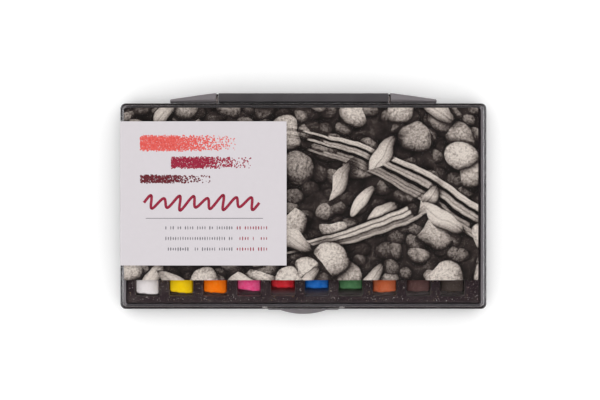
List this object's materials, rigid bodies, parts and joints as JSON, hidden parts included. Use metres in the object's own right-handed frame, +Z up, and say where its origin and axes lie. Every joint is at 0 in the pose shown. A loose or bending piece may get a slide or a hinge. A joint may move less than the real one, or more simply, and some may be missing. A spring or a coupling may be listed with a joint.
{
  "type": "hinged pastel stick box",
  "caption": "Flat hinged box with a clear lid over a dark tray, holding a row of round soft pastel sticks in a slotted foam insert under a picture card.",
  "frame": {"origin": "middle of the object's outline, on the table it lies on", "axes": "+X along the long side to the right, +Y to the hinge at the back, +Z up through the lid"},
  "size_m": [0.2002, 0.1216, 0.0221],
  "materials": {
    "base_plastic": "satin",
    "clear_plastic": "gloss",
    "foam": "open-cell foam",
    "card": "printed card",
    "label_film": "satin",
    "pastel_white": "chalky",
    "pastel_yellow": "chalky",
    "pastel_orange": "chalky",
    "pastel_pink": "chalky",
    "pastel_red": "chalky",
    "pastel_blue": "chalky",
    "pastel_green": "chalky",
    "pastel_terracotta": "chalky",
    "pastel_brown": "chalky",
    "pastel_black": "chalky"
  },
  "bodies": {
    "base": {"base_tray": "base_plastic", "foam_pad": "foam", "foam_cradle": "foam"},
    "lid": {"lid": "clear_plastic", "picture_card": "card", "label": "label_film"},
    "stick_white": {"pastel_white": "pastel_white"},
    "stick_yellow": {"pastel_yellow": "pastel_yellow"},
    "stick_orange": {"pastel_orange": "pastel_orange"},
    "stick_pink": {"pastel_pink": "pastel_pink"},
    "stick_red": {"pastel_red": "pastel_red"},
    "stick_blue": {"pastel_blue": "pastel_blue"},
    "stick_green": {"pastel_green": "pastel_green"},
    "stick_terracotta": {"pastel_terracotta": "pastel_terracotta"},
    "stick_brown": {"pastel_brown": "pastel_brown"},
    "stick_black": {"pastel_black": "pastel_black"}
  },
  "joints": [
    {"name": "lid_hinge", "type": "hinge", "parent": "base", "child": "lid", "pos_m": [0, 0.05825, 0.015], "axis": [-1, 0, 0], "range_deg": [0, 180]},
    {"name": "white_slide", "type": "slide", "parent": "base", "child": "stick_white", "axis": [0, 1, 0], "range_m": [-0.00045, 0.00405]},
    {"name": "yellow_slide", "type": "slide", "parent": "base", "child": "stick_yellow", "axis": [0, 1, 0], "range_m": [-0.001, 0.0035]},
    {"name": "orange_slide", "type": "slide", "parent": "base", "child": "stick_orange", "axis": [0, 1, 0], "range_m": [-0.0011, 0.0034]},
    {"name": "pink_slide", "type": "slide", "parent": "base", "child": "stick_pink", "axis": [0, 1, 0], "range_m": [-0.00235, 0.00215]},
    {"name": "red_slide", "type": "slide", "parent": "base", "child": "stick_red", "axis": [0, 1, 0], "range_m": [-0.00395, 0.00055]},
    {"name": "blue_slide", "type": "slide", "parent": "base", "child": "stick_blue", "axis": [0, 1, 0], "range_m": [-0.0035, 0.001]},
    {"name": "green_slide", "type": "slide", "parent": "base", "child": "stick_green", "axis": [0, 1, 0], "range_m": [-0.00325, 0.00125]},
    {"name": "terracotta_slide", "type": "slide", "parent": "base", "child": "stick_terracotta", "axis": [0, 1, 0], "range_m": [-0.0015, 0.003]},
    {"name": "brown_slide", "type": "slide", "parent": "base", "child": "stick_brown", "axis": [0, 1, 0], "range_m": [-0.0017, 0.0028]},
    {"name": "black_slide", "type": "slide", "parent": "base", "child": "stick_black", "axis": [0, 1, 0], "range_m": [-0.00145, 0.00305]}
  ]
}
